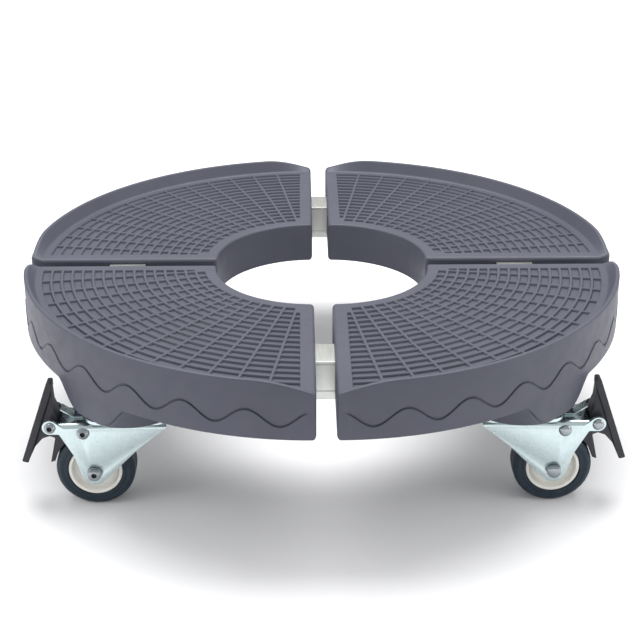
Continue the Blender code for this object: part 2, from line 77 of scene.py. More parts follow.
tray_low, tray_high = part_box("tray_rear_right")
CENTRE = Vector((tray_low.x, tray_low.y))  # centre of curvature of the +X +Y tray
OUTER_RADIUS = tray_high.x - tray_low.x
PAD_Z = tray_low.z  # underside of the pads that carry the casters
LIP_HEIGHT = 8.7 * MM
DECK_Z = tray_high.z - LIP_HEIGHT
INNER_RADIUS = 66.5 * MM
DECK_THICKNESS = 3 * MM
DECK_UNDER_Z = DECK_Z - DECK_THICKNESS
WALL = 2.5 * MM
WALL_BOTTOM_Z = 85.6 * MM
BELOW_Z = 60 * MM  # lower end of the tools that cut upwards into a tray
PAST = 5 * MM  # how far such a tool passes the edge that it cuts
EDGE_RADIUS = 2.4 * MM  # rounding of every edge of a tray's end faces
LIP_END_HEIGHT = 1.2 * MM
LIP_TOP_WIDTH = 2.6 * MM
LIP_FOOT_WIDTH = 7.4 * MM
LIP_TAPER_DEG = 11
STATION_DEG = 0.5
FAN_DEG = 6  # over this angle the stations turn from parallel to the end face to radial
WAVE_PERIOD_DEG = 11.35
WAVE_CREST_DEG = 89.5
WAVE_Z = DECK_Z - 15 * MM
WAVE_RISE = 5 * MM
WAVE_STEP = 0.5 * MM
WAVE_GROOVE = 0.75 * MM
WAVE_FADE = 0.4  # how much shallower the rising stretches of the wave are at the far end
SKIRT = 4 * MM  # thickness of the wall's lobe before the tray is hollowed
SKIRT_SPREAD = 0.3 * MM  # the lobe is this much wider than the bowl behind it
SKIRT_DROP = 0.1 * MM  # and this much lower

ROWS = 16
FIRST_ROW = 74.5 * MM
ROW_PITCH = 6.9 * MM
RIB = 1.9 * MM
SECTOR_RIBS = 13
FIRST_RIB_DEG = 8.6
MARGIN = 9.2 * MM
POCKET_DEPTH = 1.4 * MM
SMALLEST_POCKET = 2 * MM  # narrower ones beside the margin are left out

kingpin_low, kingpin_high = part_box("kingpin_rear_right")
tyre_low, tyre_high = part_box("tyre_rear_right")
SWIVEL = (kingpin_low + kingpin_high).xy / 2
PAD_FLAT = 33.5 * MM  # radius of the flat middle of the bowl-shaped pad over a caster
PAD_RADIUS = 44.5 * MM  # radius at which the bowl has risen to the bottom edge of the wall
PAD_SETBACK = 1.7 * MM  # how far the pad stays behind the outer face of the wall
PAD_RIB = 4 * MM
PAD_CLEAR = 11 * MM  # middle of the pad that is left open for the kingpin's head
TRAIL = (tyre_low.x + tyre_high.x) / 2 - SWIVEL.x
WHEEL_RADIUS = (tyre_high.z - tyre_low.z) / 2
WHEEL_WIDTH = tyre_high.y - tyre_low.y
HUB_RADIUS = 17 * MM
AXLE_RADIUS = 3 * MM
FORK_WIDTH = 26 * MM
SHEET = 2 * MM
FORK_TOP_Z = 59.8 * MM
CUT_REACH = 60 * MM  # length of the tools that cut through a whole fork
PIN_RADIUS = 2.3 * MM
PIN_HEAD = 1.6 * MM
PEDAL_PIN_HEAD_RADIUS = 3.6 * MM
STOP_PIN_HEAD_RADIUS = 3.8 * MM
BOLT_HEAD = 3 * MM
BOLT_HEAD_RADIUS = 4.5 * MM
NUT_RADIUS = 5.6 * MM
NUT_HEIGHT = 4.6 * MM
PEDAL_PIVOT = (-49.6 * MM, 57.8 * MM)
STOP_PIN = (-29.4 * MM, 53.7 * MM)
KINGPIN_RADIUS = 5 * MM
KINGPIN_HEAD = 2.2 * MM
KINGPIN_HEAD_RADIUS = 8 * MM
PLATE_HALF = 26 * MM
PLATE_CORNER = 9 * MM
PLATE_HOLE = 19.5 * MM  # from the middle of the plate to its screw holes, along X and along Y
PLATE_HOLE_RADIUS = 2.6 * MM
PLATE_THICKNESS = 2 * MM
PLATE_SCREW_HEAD = 2.2 * MM

tube_low, tube_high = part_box("tube_front")
TUBE = tube_high.z - tube_low.z
TUBE_WALL = 1.2 * MM
SOCKET_LENGTH = 68 * MM
SOCKET_WALL = 2.4 * MM
STRAP_START = 14 * MM
STRAP_LENGTH = 14 * MM
STRAP_THICKNESS = 2.2 * MM
SCREW_RADIUS = 2.5 * MM
SCREW_HEAD = 3 * MM
KNOB_HEIGHT = 8 * MM
KNOB_LOBES = 18

scene = bpy.context.scene
workbench = bpy.data.collections.new("workbench")
scene.collection.children.link(workbench)


# ---------------------------------------------------------------- modelling helpers
def mesh_from(bm, name):
    """Welds a bmesh, turns its faces outwards and hands it over as a mesh."""
    bmesh.ops.remove_doubles(bm, verts=bm.verts, dist=1e-6)
    bmesh.ops.recalc_face_normals(bm, faces=bm.faces)
    mesh = bpy.data.meshes.new(name)
    bm.to_mesh(mesh)
    bm.free()
    return mesh


def with_modifiers(mesh, setups, name):
    """Applies (type, settings) modifiers to a mesh and returns the result."""
    base = bpy.data.objects.new(name, mesh)
    workbench.objects.link(base)
    tools = []
    for kind, settings in setups:
        modifier = base.modifiers.new(kind.lower(), kind)
        for key, value in settings.items():
            if key == "tool":
                tool = bpy.data.objects.new("tool", value)
                workbench.objects.link(tool)
                tools.append(tool)
                modifier.object = tool
            else:
                setattr(modifier, key, value)
    bpy.context.view_layer.update()
    graph = bpy.context.evaluated_depsgraph_get()
    result = bpy.data.meshes.new_from_object(base.evaluated_get(graph))
    result.name = name
    for obj in [base] + tools:
        bpy.data.objects.remove(obj)
    return result


def combine(mesh, steps, name):
    """Boolean steps, each (operation, mesh)."""
    setups = [("BOOLEAN", {"operation": step, "solver": "EXACT", "tool": tool}) for step, tool in steps]
    return with_modifiers(mesh, setups, name)


def softened(mesh, width, segments=2, angle=35):
    """Rounds the edges that are sharper than an angle."""
    settings = {"width": width, "segments": segments, "limit_method": "ANGLE", "harden_normals": False}
    settings["angle_limit"] = math.radians(angle)
    return with_modifiers(mesh, [("BEVEL", settings)], mesh.name)


def in_mm(points):
    """Points written in millimetres, in scene units."""
    return [tuple(c * MM for c in point) for point in points]


def box(low, high):
    """A box between two corners."""
    bm = bmesh.new()
    size = Vector(high) - Vector(low)
    middle = (Vector(high) + Vector(low)) / 2
    bmesh.ops.create_cube(bm, size=1, matrix=Matrix.Translation(middle) @ Matrix.Diagonal((*size, 1)))
    return mesh_from(bm, "box")


def rounded(points, steps=4):
    """A closed outline of (x, y, corner radius) with its corners turned into arcs."""
    out = []
    for i, (x, y, radius) in enumerate(points):
        here = Vector((x, y))
        if radius == 0:
            out.append((x, y))
            continue
        before = (Vector(points[i - 1][:2]) - here).normalized()
        after = (Vector(points[(i + 1) % len(points)][:2]) - here).normalized()
        half = before.angle(after) / 2
        middle = here + (before + after).normalized() * radius / math.sin(half)
        start = here + before * radius / math.tan(half) - middle
        end = here + after * radius / math.tan(half) - middle
        sweep = start.angle(end)
        for k in range(steps + 1):
            t = k / steps
            spoke = (start * math.sin((1 - t) * sweep) + end * math.sin(t * sweep)) / math.sin(sweep)
            out.append(tuple(middle + spoke))
    return out


def arc(centre, radius, start, end, steps):
    """Points on a round stretch of an outline; degrees from +X, turning towards +Z."""
    angles = [math.radians(start + (end - start) * i / steps) for i in range(steps + 1)]
    return [(centre[0] + radius * math.cos(a), centre[1] + radius * math.sin(a)) for a in angles]


def add_stack(bm, loops):
    """Joins loops of points, all the same length, into one closed solid."""
    rings = [[bm.verts.new(point) for point in loop] for loop in loops]
    count = len(rings[0])
    for near, far in zip(rings, rings[1:]):
        for i in range(count):
            j = (i + 1) % count
            bm.faces.new((near[i], near[j], far[j], far[i]))
    bm.faces.new(rings[0])
    bm.faces.new(rings[-1])


def slab(points, width, name, y=0.0):
    """An outline in the XZ plane with a width along Y."""
    bm = bmesh.new()
    add_stack(bm, [[(x, y + side * width / 2, z) for x, z in points] for side in (-1, 1)])
    return mesh_from(bm, name)


def turned(profile, segments, name, closed=False):
    """A profile of (radius, height) points turned about Z."""
    bm = bmesh.new()
    angles = [2 * math.pi * i / segments for i in range(segments)]
    rings = []
    for radius, height in profile:
        if radius < 1e-7:
            rings.append([bm.verts.new((0, 0, height))])
        else:
            spots = [(radius * math.cos(a), radius * math.sin(a), height) for a in angles]
            rings.append([bm.verts.new(spot) for spot in spots])
    pairs = list(zip(rings, rings[1:]))
    if closed:
        pairs.append((rings[-1], rings[0]))
    for low, high in pairs:
        for i in range(segments):
            j = (i + 1) % segments
            corners = (low[i % len(low)], low[j % len(low)], high[j % len(high)], high[i % len(high)])
            bm.faces.new(list(dict.fromkeys(corners)))
    return mesh_from(bm, name)


def along_y(mesh, x=0.0, z=0.0):
    """Lays a turned mesh along Y, its lower end towards -Y, through (x, z)."""
    mesh.transform(Matrix.Translation((x, 0, z)) @ Matrix.Rotation(math.radians(-90), 4, "X"))
    return mesh


def cylinder(radius, low, high, segments=48, spot=(0, 0)):
    """An upright cylinder between two heights, over a spot on the floor."""
    mesh = turned([(0, low), (radius, low), (radius, high), (0, high)], segments, "cylinder")
    mesh.transform(Matrix.Translation((*spot, 0)))
    return mesh


def ease(t):
    """Runs smoothly from 0 to 1 while t does, and stays level outside."""
    t = min(max(t, 0), 1)
    return t * t * (3 - 2 * t)


def joined(meshes, name):
    """Several meshes as one."""
    bm = bmesh.new()
    for mesh in meshes:
        bm.from_mesh(mesh)
    mesh = bpy.data.meshes.new(name)
    bm.to_mesh(mesh)
    bm.free()
    return mesh


def piece(mesh, name, body, finish, nodes=(), place=None):
    """A finished piece that rides on a body and stands for CAD nodes."""
    obj = bpy.data.objects.new(name, mesh)
    scene.collection.objects.link(obj)
    if not mesh.materials:
        mesh.materials.append(finish)
    mesh.shade_smooth()
    mesh.set_sharp_from_angle(angle=math.radians(32))
    if place:
        obj.matrix_world = place
    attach(obj, body)
    if nodes:
        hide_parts(*nodes)
    return obj


# ---------------------------------------------------------------- materials
def new_material(name, color, roughness, metallic=0.0):
    made = bpy.data.materials.new(name)
    made.use_nodes = True
    shader = made.node_tree.nodes["Principled BSDF"]
    shader.inputs["Base Color"].default_value = (*color, 1)
    shader.inputs["Roughness"].default_value = roughness
    shader.inputs["Metallic"].default_value = metallic
    return made, made.node_tree, shader


def noise(tree, size, stretch=(1, 1, 1), detail=3.0, roughness=0.55):
    """Noise whose features are about size metres across, drawn out along the axes by stretch."""
    coords = tree.nodes.new("ShaderNodeTexCoord")
    mapping = tree.nodes.new("ShaderNodeMapping")
    mapping.inputs["Scale"].default_value = [1 / (size * s) for s in stretch]
    tree.links.new(coords.outputs["Object"], mapping.inputs["Vector"])
    texture = tree.nodes.new("ShaderNodeTexNoise")
    texture.inputs["Scale"].default_value = 1
    texture.inputs["Detail"].default_value = detail
    texture.inputs["Roughness"].default_value = roughness
    tree.links.new(mapping.outputs["Vector"], texture.inputs["Vector"])
    return texture.outputs["Fac"]


def cells(tree, size):
    """A pattern of flat random cells, as on hot-dipped zinc."""
    coords = tree.nodes.new("ShaderNodeTexCoord")
    texture = tree.nodes.new("ShaderNodeTexVoronoi")
    texture.inputs["Scale"].default_value = 1 / size
    tree.links.new(coords.outputs["Object"], texture.inputs["Vector"])
    split = tree.nodes.new("ShaderNodeSeparateColor")
    tree.links.new(texture.outputs["Color"], split.inputs["Color"])
    return split.outputs["Red"]


def remap(tree, value, low, high, start=0.3, end=0.7):
    """Stretches a value's range start..end over low..high."""
    node = tree.nodes.new("ShaderNodeMapRange")
    node.inputs["From Min"].default_value = start
    node.inputs["From Max"].default_value = end
    node.inputs["To Min"].default_value = low
    node.inputs["To Max"].default_value = high
    tree.links.new(value, node.inputs["Value"])
    return node.outputs["Result"]


def blend_colors(tree, factor, first, second):
    """Mixes two colours, each a tuple or a socket."""
    node = tree.nodes.new("ShaderNodeMix")
    node.data_type = "RGBA"
    tree.links.new(factor, node.inputs["Factor"])
    for socket, color in ((node.inputs[6], first), (node.inputs[7], second)):
        if isinstance(color, tuple):
            socket.default_value = (*color, 1)
        else:
            tree.links.new(color, socket)
    return node.outputs[2]


def bump(tree, shader, layers):
    """Stacks bump layers of (height socket, depth in metres, strength)."""
    previous = None
    for height, depth, strength in layers:
        node = tree.nodes.new("ShaderNodeBump")
        node.inputs["Distance"].default_value = depth
        node.inputs["Strength"].default_value = strength
        tree.links.new(height, node.inputs["Height"])
        if previous:
            tree.links.new(previous, node.inputs["Normal"])
        previous = node.outputs["Normal"]
    tree.links.new(previous, shader.inputs["Normal"])


def shade(color, factor):
    return tuple(c * factor for c in color)


def moulded(name, color, roughness, grain, dust, grain_strength=0.35):
    """Injection-moulded plastic: spark grain, slow mottling, rubbed patches and a little dust."""
    made, tree, shader = new_material(name, color, roughness)
    flow = remap(tree, noise(tree, 45 * MM, detail=4), 0, 1)
    body = blend_colors(tree, flow, shade(color, 0.93), shade(color, 1.06))
    speck = remap(tree, noise(tree, 1.3 * MM, detail=5, roughness=0.7), 0, dust, 0.58, 0.78)
    pale = tuple(min(1, c * 1.5 + 0.03) for c in color)
    tree.links.new(blend_colors(tree, speck, body, pale), shader.inputs["Base Color"])
    rub = remap(tree, noise(tree, 9 * MM, detail=6, roughness=0.65), roughness - 0.07, roughness + 0.09)
    tree.links.new(rub, shader.inputs["Roughness"])
    fine = noise(tree, grain, detail=2)
    sink = noise(tree, 22 * MM, detail=1)
    bump(tree, shader, [(sink, 0.5 * MM, 0.12), (fine, 0.06 * MM, grain_strength)])
    shader.inputs["Specular IOR Level"].default_value = 0.45
    return made


def zinc(name, color, roughness):
    """Zinc plate: faint spangle, drawn lines from the press and cloudy roughness."""
    made, tree, shader = new_material(name, color, roughness, 1)
    spangle = remap(tree, cells(tree, 2.2 * MM), 0, 1, 0, 1)
    body = blend_colors(tree, spangle, shade(color, 0.965), shade(color, 1.0))
    cloud = remap(tree, noise(tree, 12 * MM, detail=5), 0, 0.6)
    tint = (color[0] * 0.88, color[1] * 0.93, color[2] * 0.95)
    tree.links.new(blend_colors(tree, cloud, body, tint), shader.inputs["Base Color"])
    rub = remap(tree, noise(tree, 3 * MM, detail=6, roughness=0.7), roughness - 0.06, roughness + 0.1)
    tree.links.new(rub, shader.inputs["Roughness"])
    lines = noise(tree, 0.5 * MM, stretch=(30, 1, 1), detail=2)
    bump(tree, shader, [(lines, 0.02 * MM, 0.1)])
    return made


def pin_metal(name, color, roughness):
    """Plated pin along Y whose recess at the -Y end is painted near-black as shade."""
    made, tree, shader = new_material(name, color, roughness, 1)
    coords = tree.nodes.new("ShaderNodeTexCoord")
    flat = tree.nodes.new("ShaderNodeVectorMath")
    flat.operation = "MULTIPLY"
    flat.inputs[1].default_value = (1, 0, 1)
    tree.links.new(coords.outputs["Object"], flat.inputs[0])
    away = tree.nodes.new("ShaderNodeVectorMath")
    away.operation = "LENGTH"
    tree.links.new(flat.outputs["Vector"], away.inputs[0])
    split = tree.nodes.new("ShaderNodeSeparateXYZ")
    tree.links.new(coords.outputs["Object"], split.inputs["Vector"])
    # mask: 0 in the recess of the -Y head, where painted shade goes, and 1 everywhere else
    outside_painted_recess_shade = tree.nodes.new("ShaderNodeMath")
    outside_painted_recess_shade.operation = "MAXIMUM"
    tree.links.new(remap(tree, away.outputs["Value"], 0, 1, 1.4 * MM, 2 * MM), outside_painted_recess_shade.inputs[0])
    tree.links.new(remap(tree, split.outputs["Y"], 0, 1, 0, MM), outside_painted_recess_shade.inputs[1])
    cloud = remap(tree, noise(tree, 1.5 * MM, detail=4), 0, 1)
    body = blend_colors(tree, cloud, shade(color, 0.8), shade(color, 1.1))
    # near-black painted shade in the recess of the -Y head
    metal = blend_colors(tree, outside_painted_recess_shade.outputs["Value"], shade(color, 0.06), body)
    tree.links.new(metal, shader.inputs["Base Color"])
    tree.links.new(remap(tree, cloud, roughness - 0.05, roughness + 0.1, 0, 1), shader.inputs["Roughness"])
    bump(tree, shader, [(noise(tree, 0.4 * MM, detail=2), 0.02 * MM, 0.2)])
    return made


def brushed(name, color, roughness, stretch):
    """Stainless tube with brushing drawn out along two axes."""
    made, tree, shader = new_material(name, color, roughness, 1)
    streak = noise(tree, 0.35 * MM, stretch=stretch, detail=3, roughness=0.7)
    tone = remap(tree, streak, 0, 1, 0.25, 0.75)
    body = blend_colors(tree, tone, shade(color, 0.86), shade(color, 1.06))
    tree.links.new(body, shader.inputs["Base Color"])
    tree.links.new(remap(tree, streak, roughness - 0.08, roughness + 0.12), shader.inputs["Roughness"])
    bump(tree, shader, [(streak, 0.02 * MM, 0.3)])
    return made


def rubber(name, color):
    """Tyre compound: matt, finely pitted, with pale dust rubbed into it."""
    made, tree, shader = new_material(name, color, 0.6)
    scuff = remap(tree, noise(tree, 5 * MM, detail=7, roughness=0.75), 0, 0.5, 0.5, 0.75)
    tree.links.new(blend_colors(tree, scuff, color, shade(color, 2.2)), shader.inputs["Base Color"])
    tree.links.new(remap(tree, noise(tree, 7 * MM), 0.48, 0.68), shader.inputs["Roughness"])
    bump(tree, shader, [(noise(tree, 0.4 * MM, detail=2), 0.05 * MM, 0.3)])
    shader.inputs["Specular IOR Level"].default_value = 0.35
    return made


TRAY_PLASTIC = moulded("tray_plastic", (0.063, 0.066, 0.092), 0.5, 0.45 * MM, 0.25)
PEDAL_PLASTIC = moulded("pedal_plastic", (0.017, 0.018, 0.024), 0.48, 0.6 * MM, 0.3, 0.5)
HUB_PLASTIC = moulded("hub_plastic", (0.78, 0.77, 0.72), 0.42, 0.5 * MM, 0.1, 0.2)
ZINC_STEEL = zinc("zinc_steel", (0.57, 0.66, 0.67), 0.22)
RIVET_STEEL = zinc("rivet_steel", (0.32, 0.35, 0.37), 0.17)
PIN_STEEL = pin_metal("pin_steel", (0.32, 0.35, 0.37), 0.17)
TUBE_STEEL_X = brushed("tube_steel_x", (0.6, 0.61, 0.58), 0.34, (1, 60, 60))
TUBE_STEEL_Y = brushed("tube_steel_y", (0.6, 0.61, 0.58), 0.34, (60, 1, 60))
TYRE_RUBBER = rubber("tyre_rubber", (0.012, 0.023, 0.036))


# ---------------------------------------------------------------- trays
def lip_height(angle):
    """Full height over most of the rim, running down to the deck at both ends."""
    rise = math.sin(min(min(angle, 90 - angle) / LIP_TAPER_DEG, 1) * math.pi / 2)
    return LIP_END_HEIGHT + (LIP_HEIGHT - LIP_END_HEIGHT) * rise


def from_end(angle):
    """Distance of a station from the nearer end face, at the outer wall."""
    return OUTER_RADIUS * math.sin(math.radians(min(angle, 90 - angle)))


def bowl_bottom(away):
    """Height of a pad's rounded underside at a distance from its swivel axis."""
    return PAD_Z + (WALL_BOTTOM_Z - PAD_Z) * ease((away - PAD_FLAT) / (PAD_RADIUS - PAD_FLAT))


def skirt_bottom(angle):
    """The wall drops into a rounded lobe over the caster's pad."""
    reach = SWIVEL.x - CENTRE.x
    spot = Vector((math.cos(math.radians(angle)), math.sin(math.radians(angle)))) * OUTER_RADIUS
    away = (spot - Vector((reach, reach))).length
    return bowl_bottom(away - SKIRT_SPREAD) - SKIRT_DROP


def tray_section(angle):
    """Outline of the tray cut at a station: inner wall, deck, lip, embossed outer wall and skirt."""
    s = min(from_end(angle), EDGE_RADIUS)
    inset = EDGE_RADIUS - math.sqrt(EDGE_RADIUS**2 - (EDGE_RADIUS - s) ** 2)
    inner = INNER_RADIUS + inset
    outer = OUTER_RADIUS - inset
    deck = DECK_Z - inset
    low = WALL_BOTTOM_Z + inset
    skirt = skirt_bottom(angle) + inset
    strength = ease((from_end(angle) - 3 * MM) / (6 * MM))  # the wave dies out beside the end faces
    face = outer - WAVE_STEP * strength
    phase = 2 * math.pi * (angle - WAVE_CREST_DEG) / WAVE_PERIOD_DEG
    wave = WAVE_Z + WAVE_RISE * math.cos(phase)
    groove = face - WAVE_GROOVE * strength * (1 - WAVE_FADE * (1 - angle / 90) * (1 - math.sin(phase)))
    top = deck + lip_height(angle)
    return rounded(
        [
            (inner, low, 0.8 * MM),
            (inner, deck, 1.6 * MM),
            (outer - LIP_FOOT_WIDTH, deck, 2.5 * MM),
            (face - LIP_TOP_WIDTH, top, 1.1 * MM),
            (face, top, 1.1 * MM),
            (face, wave + 1.15 * MM, 0),
            (groove, wave + 0.6 * MM, 0),
            (groove, wave + 0.05 * MM, 0),
            (outer, wave - 0.35 * MM, 0),
            (outer, skirt, 1.4 * MM),
            (outer - SKIRT, skirt, 0),
            (outer - SKIRT, low, 0),
        ]
    )


def station_angle(angle, radius):
    """Stations lie parallel to the end faces beside them, and fan out to true radii further in."""
    near = min(angle, 90 - angle)
    if from_end(angle) <= EDGE_RADIUS:
        local = math.degrees(math.asin(from_end(angle) / radius))
    else:
        edge = math.degrees(math.asin(EDGE_RADIUS / OUTER_RADIUS))
        extra = math.degrees(math.asin(EDGE_RADIUS / radius)) - edge
        local = near + extra * (1 - ease((near - edge) / FAN_DEG))
    return local if angle < 45 else 90 - local


def tray_stations():
    """Angles of the cuts that make up a tray, close together over the rounded ends."""
    steps = 6
    edge = [EDGE_RADIUS * (1 - math.cos(math.pi / 2 * i / steps)) for i in range(steps + 1)]
    start = [math.degrees(math.asin(s / OUTER_RADIUS)) for s in edge]
    count = round(90 / STATION_DEG)
    skip = 3  # stations that would fall among those of a rounded end
    between = [90 * i / count for i in range(skip, count - skip + 1)]
    return start + between + [90 - a for a in reversed(start)]


def tray_body():
    """The tray as one solid block, with its lip, wave and lobe, before it is hollowed."""
    loops = []
    for angle in tray_stations():
        loop = []
        for radius, z in tray_section(angle):
            a = math.radians(station_angle(angle, radius))
            loop.append((CENTRE.x + radius * math.cos(a), CENTRE.y + radius * math.sin(a), z))
        loops.append(loop)
    bm = bmesh.new()
    add_stack(bm, loops)
    bmesh.ops.remove_doubles(bm, verts=bm.verts, dist=1e-6)
    bm.normal_update()
    edges = [e for e in bm.edges if all(abs(f.normal.z) > 0.99999 for f in e.link_faces)]
    bmesh.ops.dissolve_limit(bm, angle_limit=0.001, verts=[], edges=edges)
    return mesh_from(bm, "tray_body")


def ring_block(inner, outer, low, high):
    """A plain quarter ring about the tray's centre of curvature."""
    steps = 60
    loops = []
    for i in range(steps + 1):
        a = math.pi / 2 * i / steps
        section = [(inner, low), (outer, low), (outer, high), (inner, high)]
        loops.append([(CENTRE.x + r * math.cos(a), CENTRE.y + r * math.sin(a), z) for r, z in section])
    bm = bmesh.new()
    add_stack(bm, loops)
    return mesh_from(bm, "ring_block")


def grown(points, distance):
    """A convex outline moved outwards by a distance."""
    out = []
    for i, here in enumerate(points):
        before = (here - points[i - 1]).normalized()
        after = (points[(i + 1) % len(points)] - here).normalized()
        side = Vector((before.y + after.y, -before.x - after.x)).normalized()
        lean = side.dot(Vector((before.y, -before.x)))
        out.append(here + side * distance / lean)
    return out


def pocket_cutter():
    """The pockets of the deck: rings cut by radial ribs, with a plain margin beside each end face."""
    rib_pitch = (90 - 2 * FIRST_RIB_DEG) / (SECTOR_RIBS - 1)
    ribs = [FIRST_RIB_DEG + rib_pitch * i for i in range(SECTOR_RIBS)]
    bounds = [0] + ribs + [90]
    arc_steps = 4
    bm = bmesh.new()
    for row in range(ROWS):
        low = FIRST_ROW + ROW_PITCH * row
        high = low + ROW_PITCH - RIB
        for first, last in zip(bounds, bounds[1:]):

            def span(radius):
                half_rib = math.asin(RIB / 2 / radius)
                margin = math.asin(MARGIN / radius)
                start = max(math.radians(first) + half_rib, margin)
                end = min(math.radians(last) - half_rib, math.pi / 2 - margin)
                return start, end

            near = span(low)
            far = span(high)
            if (near[1] - near[0]) * low < SMALLEST_POCKET:
                continue
            outline = []
            for radius, (start, end) in ((high, far), (low, near[::-1])):
                for k in range(arc_steps + 1):
                    a = start + (end - start) * k / arc_steps
                    outline.append(Vector((radius * math.cos(a), radius * math.sin(a))) + CENTRE)
            # heights from the deck, and how far the outline has grown there: a slight draft, then a chamfer
            levels = [(-POCKET_DEPTH, -0.3 * MM), (-0.3 * MM, 0), (0.4 * MM, 0.7 * MM)]
            loops = []
            for z, growth in levels:
                loops.append([(p.x, p.y, DECK_Z + z) for p in grown(outline, growth)])
            add_stack(bm, loops)
    return mesh_from(bm, "pockets")


def pad_rib_boxes():
    """Crossed ribs that carry the caster plate, with a clear middle for the kingpin's head."""
    x, y = SWIVEL
    half = PAD_RIB / 2
    far = PAD_RADIUS + PAST
    boxes = []
    for side in (-1, 1):
        near_x, far_x = sorted((x + side * PAD_CLEAR, x + side * far))
        near_y, far_y = sorted((y + side * PAD_CLEAR, y + side * far))
        boxes.append(box((near_x, y - half, PAD_Z), (far_x, y + half, DECK_Z)))
        boxes.append(box((x - half, near_y, PAD_Z), (x + half, far_y, DECK_Z)))
    return boxes


def tray_base():
    """The tray without its tube sockets."""
    top = DECK_UNDER_Z + MM
    rings = 12
    spread = [PAD_FLAT + (PAD_RADIUS - PAD_FLAT) * i / rings for i in range(rings + 1)]
    bowl = [(r, bowl_bottom(r)) for r in spread] + [(PAD_RADIUS, top)]
    pad = turned([(0, PAD_Z)] + bowl + [(0, top)], FINE, "pad")
    pad.transform(Matrix.Translation((*SWIVEL, 0)))
    behind_wall = ring_block(INNER_RADIUS, OUTER_RADIUS - PAD_SETBACK, BELOW_Z, DECK_Z)
    pad = combine(pad, [("INTERSECT", behind_wall)], "pad")
    reach = OUTER_RADIUS - WALL
    inside = (CENTRE.x + WALL, CENTRE.y + WALL, BELOW_Z - MM)
    outside = (OUTER_RADIUS * 2, OUTER_RADIUS * 2, DECK_Z + MM)
    hollow = combine(
        ring_block(INNER_RADIUS + WALL, reach, BELOW_Z, DECK_UNDER_Z),
        [
            ("INTERSECT", box(inside, outside)),
            ("DIFFERENCE", cylinder(PAD_RADIUS + SHIFT, BELOW_Z - MM, DECK_Z, FINE, SWIVEL)),
        ],
        "hollow",
    )
    cut = [("INTERSECT", ring_block(INNER_RADIUS, reach + SHIFT, BELOW_Z - MM, DECK_Z))]
    cut += [("DIFFERENCE", rib) for rib in pad_rib_boxes()]
    cup = [(r - WALL, z) for r, z in bowl[:-1]] + [(PAD_RADIUS - WALL, DECK_UNDER_Z), (0, DECK_UNDER_Z)]
    cup = turned([(0, BELOW_Z), (PAD_FLAT - WALL, BELOW_Z)] + cup, FINE, "cup")
    cup.transform(Matrix.Translation((*SWIVEL, 0)))
    pad_hollow = combine(cup, cut, "pad_hollow")
    steps = [("UNION", pad), ("DIFFERENCE", hollow), ("DIFFERENCE", pad_hollow)]
    steps += [("DIFFERENCE", pocket_cutter())]
    return combine(tray_body(), steps, "tray_base")


def socket_steps(tube_spot, along_x):
    """Side walls and the strap below the tube, as boxes that join the tray."""
    start = CENTRE.x if along_x else CENTRE.y
    half = TUBE / 2 + FIT
    bottom = tube_low.z - FIT

    def span(run, side, low, high):
        near = (run[0], side[0], low) if along_x else (side[0], run[0], low)
        far = (run[1], side[1], high) if along_x else (side[1], run[1], high)
        return box(near, far)

    whole = (start + WALL / 2, start + SOCKET_LENGTH)
    strap = (start + STRAP_START, start + STRAP_START + STRAP_LENGTH)
    steps = []
    for side in (-1, 1):
        edges = sorted((tube_spot + side * (half - SHIFT), tube_spot + side * (half + SOCKET_WALL)))
        steps.append(("UNION", span(whole, edges, WALL_BOTTOM_Z + 0.4 * MM, DECK_UNDER_Z + 0.6 * MM)))
    wide = half + SOCKET_WALL - SHIFT
    across = (tube_spot - wide, tube_spot + wide)
    steps.append(("UNION", span(strap, across, bottom - STRAP_THICKNESS, DECK_UNDER_Z - 5 * MM)))
    inside = (tube_spot - half, tube_spot + half)
    bore = (start - PAST, start + SOCKET_LENGTH + 2 * MM)
    steps.append(("DIFFERENCE", span(bore, inside, bottom, DECK_UNDER_Z - SHIFT / 2)))
    mouth = (start - PAST, start + WALL + MM)
    wider = (inside[0] - SHIFT / 2, inside[1] + SHIFT / 2)
    steps.append(("DIFFERENCE", span(mouth, wider, BELOW_Z, DECK_UNDER_Z - MM)))
    middle = (strap[0] + strap[1]) / 2
    spot = (middle, tube_spot) if along_x else (tube_spot, middle)
    steps.append(("DIFFERENCE", cylinder(SCREW_RADIUS + FIT, BELOW_Z, bottom + MM, 24, spot)))
    return steps


def mirrored(mesh, signs, name):
    """A copy for another corner, its faces still turned outwards."""
    copy = mesh.copy()
    copy.name = name
    copy.transform(Matrix.Diagonal((signs[0], signs[1], 1, 1)))
    if signs[0] * signs[1] < 0:
        copy.flip_normals()
    return copy


def build_trays():
    base = tray_base()
    side_low, side_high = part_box("tube_right")
    side_spot = (side_low.x + side_high.x) / 2
    shells = {}
    for edge in ("front", "rear"):
        low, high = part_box("tube_" + edge)
        steps = socket_steps(abs(low.y + high.y) / 2, True) + socket_steps(side_spot, False)
        shells[edge] = combine(base.copy(), steps, "tray_" + edge)
    for corner, signs in CORNERS.items():
        name = "tray_shell_" + corner
        mesh = mirrored(shells[corner.split("_")[0]], signs, name)
        piece(mesh, name, corner + "_quarter", TRAY_PLASTIC, ["tray_" + corner])


